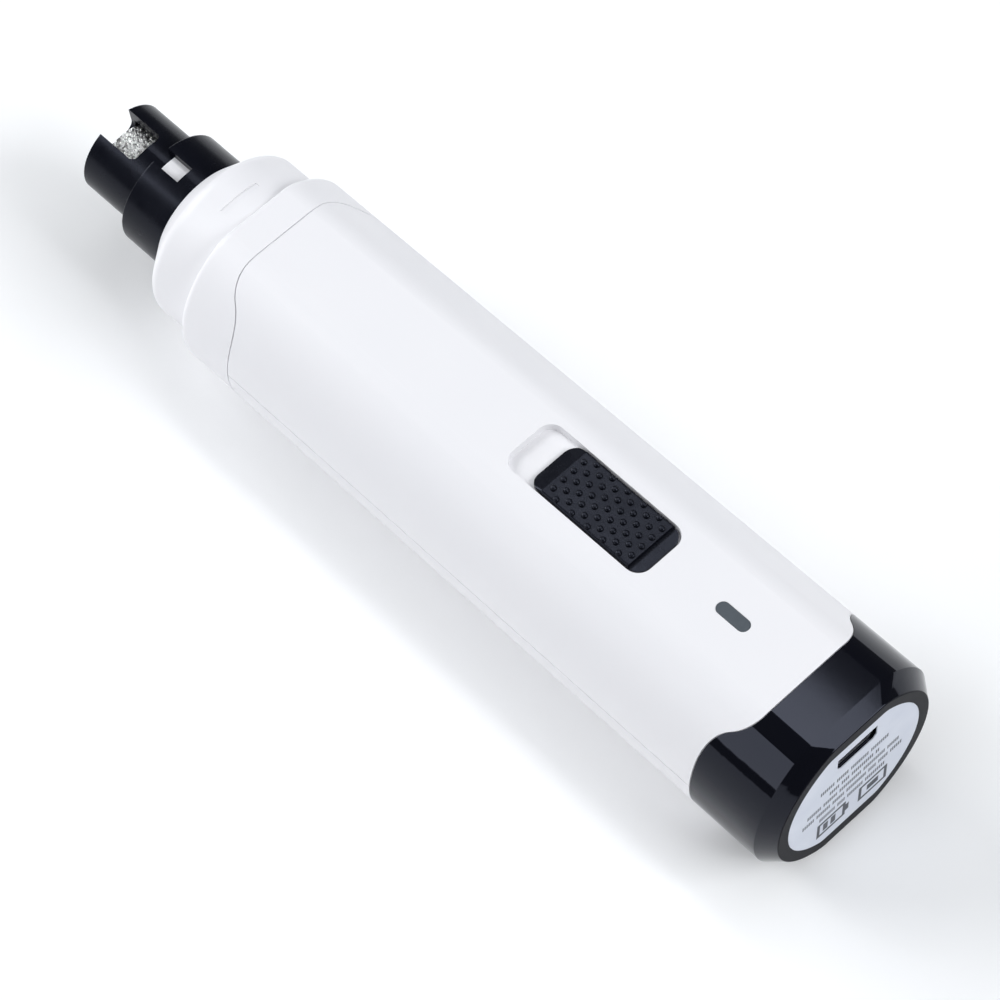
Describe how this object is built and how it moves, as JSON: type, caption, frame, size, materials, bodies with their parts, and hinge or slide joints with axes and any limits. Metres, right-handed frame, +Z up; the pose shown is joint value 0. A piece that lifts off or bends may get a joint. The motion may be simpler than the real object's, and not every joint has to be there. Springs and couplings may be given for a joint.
{
  "type": "pet nail grinder",
  "caption": "Cordless pet nail grinder: tapering white grip with flats, sliding thumb switch, black tail cap and a notched guard over a grit drum.",
  "frame": {"origin": "middle of the length and width, on the surface that the lower flat rests on", "axes": "+X from the grinding tip to the charging end, +Z up through the thumb switch, +Y to the left of someone who looks along +X"},
  "size_m": [0.1572, 0.036, 0.032],
  "materials": {
    "white_shell": "satin",
    "black_gloss": "polished",
    "black_satin": "satin",
    "black_matte": "fine matte",
    "label_film": "satin film",
    "bright_steel": "turned",
    "diamond_grit": "coarse plated grit",
    "bronze": "sintered",
    "felt": "felt",
    "plated_steel": "zinc plated",
    "nylon_white": "moulded",
    "ferrite": "sintered",
    "core_steel": "laminated",
    "copper_wire": "enamelled",
    "grey_rubber": "moulded",
    "cell_winding": "wound foil",
    "cell_wrap": "shrink film",
    "green_board": "solder mask",
    "chip_black": "moulded",
    "smoke_lens": "smoked",
    "wire_red": "insulated"
  },
  "bodies": {
    "housing": {"battery_can": "plated_steel", "battery_cradle": "nylon_white", "battery_leads": "wire_red", "battery_positive_cap": "plated_steel", "battery_roll": "cell_winding", "battery_sleeve": "cell_wrap", "battery_tabs": "plated_steel", "board_chips": "chip_black", "board_screws": "plated_steel", "board_small_parts": "chip_black", "circuit_board": "green_board", "damper_ring": "grey_rubber", "dust_seal": "felt", "foam_pads": "grey_rubber", "led_lamp": "nylon_white", "led_lens": "smoke_lens", "lower_shell": "white_shell", "motor_brushes": "bronze", "motor_can": "plated_steel", "motor_end_bell": "nylon_white", "motor_front_bush": "bronze", "motor_leads": "wire_red", "motor_magnets": "ferrite", "motor_plate": "plated_steel", "motor_rear_bush": "bronze", "motor_screws": "plated_steel", "motor_terminals": "bronze", "nose_housing": "white_shell", "socket_shell": "plated_steel", "socket_tongue": "chip_black", "spindle_bush": "bronze", "switch_body": "plated_steel", "tail_cap": "black_gloss", "tail_label": "label_film", "upper_shell": "white_shell"},
    "spindle": {"drum_core": "bright_steel", "grit_sleeve": "diamond_grit", "drum_arbor": "bright_steel", "spindle_coupling": "bronze", "motor_shaft": "bright_steel", "armature_core": "core_steel", "armature_windings": "copper_wire", "commutator": "copper_wire"},
    "knob": {"switch_knob": "black_matte", "switch_actuator": "chip_black"},
    "guard": {"guard_cap": "black_satin"}
  },
  "joints": [
    {"name": "switch_slide", "type": "slide", "parent": "housing", "child": "knob", "axis": [-1, 0, 0], "range_m": [0, 0.0045]},
    {"name": "spindle_spin", "type": "hinge", "parent": "housing", "child": "spindle", "pos_m": [-0.06, 0, 0.0157], "axis": [1, 0, 0], "continuous": true},
    {"name": "guard_pull", "type": "slide", "parent": "housing", "child": "guard", "axis": [-1, 0, 0], "range_m": [0, 0.022]}
  ]
}
